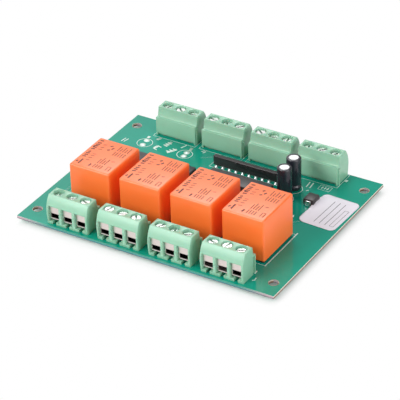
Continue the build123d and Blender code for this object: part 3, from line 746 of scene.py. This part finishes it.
sticker = bmesh.new()
bmesh.ops.create_grid(sticker, x_segments=50, y_segments=72, size=0.5)
for v in sticker.verts:
    spot = Vector((v.co.x * 2 * half.x, v.co.y * 2 * half.y))
    inner = Vector([max(-h + LABEL_RADIUS, min(h - LABEL_RADIUS, c)) for c, h in zip(spot, half)])
    out = spot - inner
    if out.length > 0:
        spot = inner + out * (max(abs(out.x), abs(out.y)) / out.length)
    v.co = on_label(*spot).to_3d() + Vector((0, 0, TOP + label_height(*spot)))
mesh = merged(bpy.data.meshes.new("sticker"), sticker)
piece = shown("sticker", smoothed(mesh, 60), PAPER)
thick = piece.modifiers.new("thickness", "SOLIDIFY")
thick.thickness = LABEL_THICK
thick.offset = 1
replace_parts(piece, "label")
ruled = [([on_label(u * MM, -7.2 * MM), on_label(u * MM, 6.6 * MM)], False)
         for u in (-1.6, 0.4, 2.4)]
box = [(4.0, -6.9), (5.4, -6.9), (5.4, 3.4), (4.0, 3.4)]
ruled.append(([on_label(u * MM, v * MM) for u, v in box], True))
drawn("label_rules", ruled, RULE_WIDTH, INK_HEIGHT, TOP + LABEL_GAP + LABEL_THICK, PRINT_GREY)

# White print on the board. Thin epoxy ink in outlines round the parts, with plain strokes where
# the real board is lettered, and tinned pads where parts could be added.
SILK = moulded("white_ink", "#e2f0e9", "#d2e6dd", 0.45)
PALE_SOLDER = bare_metal("pale_solder", "#c9d6cf", 0.5, 0.4 * MM, 0.02 * MM)
SILK_THICK = 0.02 * MM
OUTLINE_WIDTH = 0.22 * MM
MARK_WIDTH = 0.42 * MM
BLOCK_WIDTH = 1.1 * MM
PAD_WIDTH = 1.15 * MM
PAD = [(0, 0.3 * MM), (0.5 * MM, 0.24 * MM), (1.0 * MM, 0.06 * MM), (1.1 * MM, 0), (0, 0)]


def ring(x, y, radius, steps=32):
    """A closed circle of points on the board."""
    turns = [2 * math.pi * i / steps for i in range(steps)]
    centre = on_board(x, y)
    return [centre.xy + Vector((math.cos(t), math.sin(t))) * radius * MM for t in turns], True


def frame_round(x0, x1, y0, y1):
    """A closed rectangle on the board."""
    return [on_board(*point).xy for point in ((x0, y0), (x1, y0), (x1, y1), (x0, y1))], True


outlines = [frame_round(11.45 + 19.12 * i, 27.95 + 19.12 * i, 13.4, 33.6) for i in range(4)]
outlines += [frame_round(12.2 + 18.25 * i, 28.9 + 18.25 * i, 64.6, 73.7) for i in range(4)]
outlines += [frame_round(39.4, 66.8, 56.4, 60.6), frame_round(78.2, 82.4, 61.2, 63.9)]
outlines += [ring(12.2, 59, 2.7), ring(28.2, 59, 2.7), ring(71.4, 57.4, 2.9), ring(71.7, 50.6, 2.9)]
strokes = [line((74.4, 60.3), (74.1, 63.7)), line((75.7, 60.3), (75.4, 63.7)),
           line((75.5, 58.2), (76.1, 59.0)), line((85.8, 4.4), (86.5, 4.9), (86.2, 6.2)),
           line((84.7, 8.0), (84.6, 9.7)), line((79.0, 43.4), (79.5, 42.2)),
           line((32.3, 63.2), (33.0, 64.2)), line((33.2, 62.6), (33.7, 63.9)),
           line((24.9, 61.9), (25.8, 64.3))]
strokes += [line((x, 61.9), (x + 0.2, 63.2)) for x in (79.2, 80.2, 81.2)]
strokes += [line((x, 56.3), (x + 0.5, 58.6)) for x in (4.4, 5.4)]
strokes += [line((x, y), (x + 1.7, y - 0.5))
            for x, y in ((18.6, 61.0), (18.8, 62.0), (19.1, 63.0), (21.4, 58.2), (22.0, 59.2),
                         (22.7, 60.2), (16.6, 57.4), (17.2, 59.5))]
pads = [line((19.5, 60.4), (20.1, 63.8)), line((22.2, 57.2), (24.2, 60.4)),
        line((16.9, 57.6), (17.4, 59.4)), line((28.6, 61.4), (28.3, 63.7)),
        line((11.4, 62.2), (11.5, 63.4)), line((14.9, 62.7), (15.5, 64.4))]
drawn("board_outlines", outlines, OUTLINE_WIDTH, SILK_THICK, TOP, SILK)
drawn("board_marks", strokes, MARK_WIDTH, SILK_THICK, TOP + SILK_THICK, SILK)
drawn("relay_border", [line((85.4, 13.2), (85.4, 34.6))], MARK_WIDTH, SILK_THICK, TOP, SILK)
drawn("bare_pads", pads, PAD_WIDTH, SILK_THICK, TOP, PALE_SOLDER)
drawn("board_block", [line((84.1, 69.4), (84.3, 70.6))], BLOCK_WIDTH, SILK_THICK, TOP, SILK)
round_pads = [turned(PAD, on_board(x, y), 20)
              for x, y in ((12.0, 60.7), (12.3, 57.6), (28.3, 60.2), (28.5, 57.9))]
mesh = merged(bpy.data.meshes.new("spare_pads"), joined(round_pads))
shown("spare_pads", smoothed(mesh), PALE_SOLDER)
